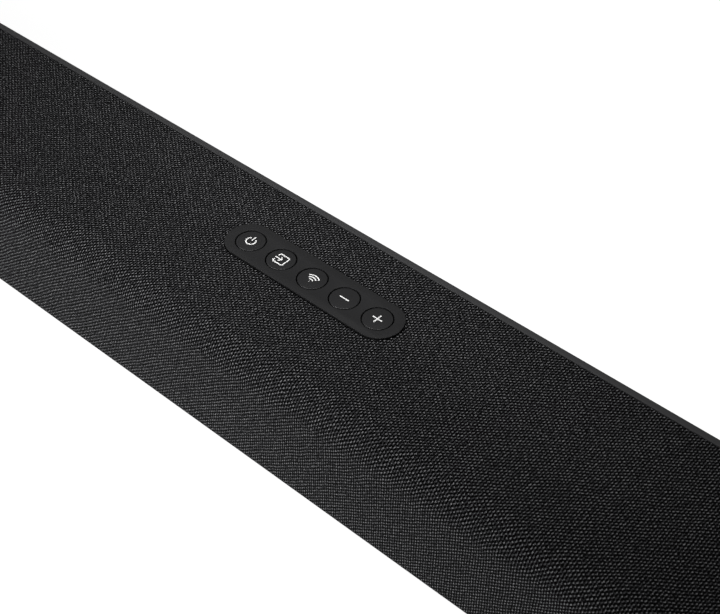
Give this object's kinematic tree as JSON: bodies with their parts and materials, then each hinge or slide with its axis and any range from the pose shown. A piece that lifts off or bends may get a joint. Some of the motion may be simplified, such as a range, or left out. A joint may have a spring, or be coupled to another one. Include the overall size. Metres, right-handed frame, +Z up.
{
  "type": "soundbar",
  "caption": "Slim television soundbar wrapped in woven cloth, with a raised pill-shaped keypad of round buttons, drivers behind the front and a recessed socket bay.",
  "frame": {"origin": "on the surface the bar stands on, under the middle of its box", "axes": "+X along the bar to its right end seen from the front, +Y to the rear, +Z up"},
  "size_m": [0.914, 0.0856, 0.0581],
  "materials": {
    "fabric": "woven charcoal polyester with lighter flecks in diagonal rows",
    "housing": "fine textured moulded ABS",
    "inner_abs": "plain black ABS",
    "pad_rubber": "matt silicone rubber with white printed symbols",
    "foot_rubber": "matt rubber",
    "zinc_steel": "zinc plated",
    "black_steel": "black coated steel",
    "nickel": "nickel plated shell",
    "aluminium": "extruded and plain",
    "board": "green circuit board",
    "paper_cone": "coated paper",
    "surround_rubber": "thin moulded rubber",
    "ferrite": "sintered ferrite",
    "silk_dome": "treated silk",
    "winding": "taped winding",
    "ribbon": "flat ribbon cable"
  },
  "bodies": {
    "cabinet": {"grille_fabric": "fabric", "rear_housing": "housing", "end_cap_left": "housing", "end_cap_right": "housing", "grille_frame": "inner_abs", "front_baffle": "inner_abs", "keypad_bracket": "inner_abs", "socket_tray": "inner_abs", "mains_inlet": "inner_abs", "optical_socket": "inner_abs", "aux_socket": "inner_abs", "left_tweeter_frame": "inner_abs", "right_tweeter_frame": "inner_abs", "keypad_pad": "pad_rubber", "foot_front_left": "foot_rubber", "foot_rear_left": "foot_rubber", "foot_front_right": "foot_rubber", "foot_rear_right": "foot_rubber", "keyhole_plate_left": "zinc_steel", "keyhole_plate_right": "zinc_steel", "housing_screw_1": "black_steel", "housing_screw_2": "black_steel", "housing_screw_3": "black_steel", "housing_screw_4": "black_steel", "left_outer_woofer_basket": "black_steel", "left_inner_woofer_basket": "black_steel", "right_inner_woofer_basket": "black_steel", "right_outer_woofer_basket": "black_steel", "video_socket": "nickel", "power_switch": "nickel", "input_switch": "nickel", "wireless_switch": "nickel", "volume_down_switch": "nickel", "volume_up_switch": "nickel", "heat_sink": "aluminium", "keypad_board": "board", "main_board": "board", "power_board": "board", "status_light_board": "board", "left_outer_woofer_surround": "surround_rubber", "left_inner_woofer_surround": "surround_rubber", "right_inner_woofer_surround": "surround_rubber", "right_outer_woofer_surround": "surround_rubber", "left_outer_woofer_magnet": "ferrite", "left_inner_woofer_magnet": "ferrite", "right_inner_woofer_magnet": "ferrite", "right_outer_woofer_magnet": "ferrite", "transformer": "winding", "keypad_ribbon": "ribbon"},
    "power_key": {"power_button": "pad_rubber"},
    "input_key": {"input_button": "pad_rubber"},
    "wireless_key": {"wireless_button": "pad_rubber"},
    "volume_down_key": {"volume_down_button": "pad_rubber"},
    "volume_up_key": {"volume_up_button": "pad_rubber"},
    "left_outer_cone": {"left_outer_woofer_cone": "paper_cone"},
    "left_inner_cone": {"left_inner_woofer_cone": "paper_cone"},
    "right_inner_cone": {"right_inner_woofer_cone": "paper_cone"},
    "right_outer_cone": {"right_outer_woofer_cone": "paper_cone"},
    "left_dome": {"left_tweeter_dome": "silk_dome"},
    "right_dome": {"right_tweeter_dome": "silk_dome"}
  },
  "joints": [
    {"name": "power_press", "type": "slide", "parent": "cabinet", "child": "power_key", "axis": [0, 0, -1], "range_m": [0, 0.0008], "stiffness_N_per_m": 1500},
    {"name": "input_press", "type": "slide", "parent": "cabinet", "child": "input_key", "axis": [0, 0, -1], "range_m": [0, 0.0008], "stiffness_N_per_m": 1500},
    {"name": "wireless_press", "type": "slide", "parent": "cabinet", "child": "wireless_key", "axis": [0, 0, -1], "range_m": [0, 0.0008], "stiffness_N_per_m": 1500},
    {"name": "volume_down_press", "type": "slide", "parent": "cabinet", "child": "volume_down_key", "axis": [0, 0, -1], "range_m": [0, 0.0008], "stiffness_N_per_m": 1500},
    {"name": "volume_up_press", "type": "slide", "parent": "cabinet", "child": "volume_up_key", "axis": [0, 0, -1], "range_m": [0, 0.0008], "stiffness_N_per_m": 1500},
    {"name": "left_outer_cone_travel", "type": "slide", "parent": "cabinet", "child": "left_outer_cone", "axis": [0, -1, 0], "range_m": [-0.002, 0.002], "stiffness_N_per_m": 1800, "deforming": ["left_outer_woofer_surround"]},
    {"name": "left_inner_cone_travel", "type": "slide", "parent": "cabinet", "child": "left_inner_cone", "axis": [0, -1, 0], "range_m": [-0.002, 0.002], "stiffness_N_per_m": 1800, "deforming": ["left_inner_woofer_surround"]},
    {"name": "right_inner_cone_travel", "type": "slide", "parent": "cabinet", "child": "right_inner_cone", "axis": [0, -1, 0], "range_m": [-0.002, 0.002], "stiffness_N_per_m": 1800, "deforming": ["right_inner_woofer_surround"]},
    {"name": "right_outer_cone_travel", "type": "slide", "parent": "cabinet", "child": "right_outer_cone", "axis": [0, -1, 0], "range_m": [-0.002, 0.002], "stiffness_N_per_m": 1800, "deforming": ["right_outer_woofer_surround"]},
    {"name": "left_dome_travel", "type": "slide", "parent": "cabinet", "child": "left_dome", "axis": [0, -1, 0], "range_m": [-0.00025, 0.00025], "stiffness_N_per_m": 8000},
    {"name": "right_dome_travel", "type": "slide", "parent": "cabinet", "child": "right_dome", "axis": [0, -1, 0], "range_m": [-0.00025, 0.00025], "stiffness_N_per_m": 8000}
  ]
}
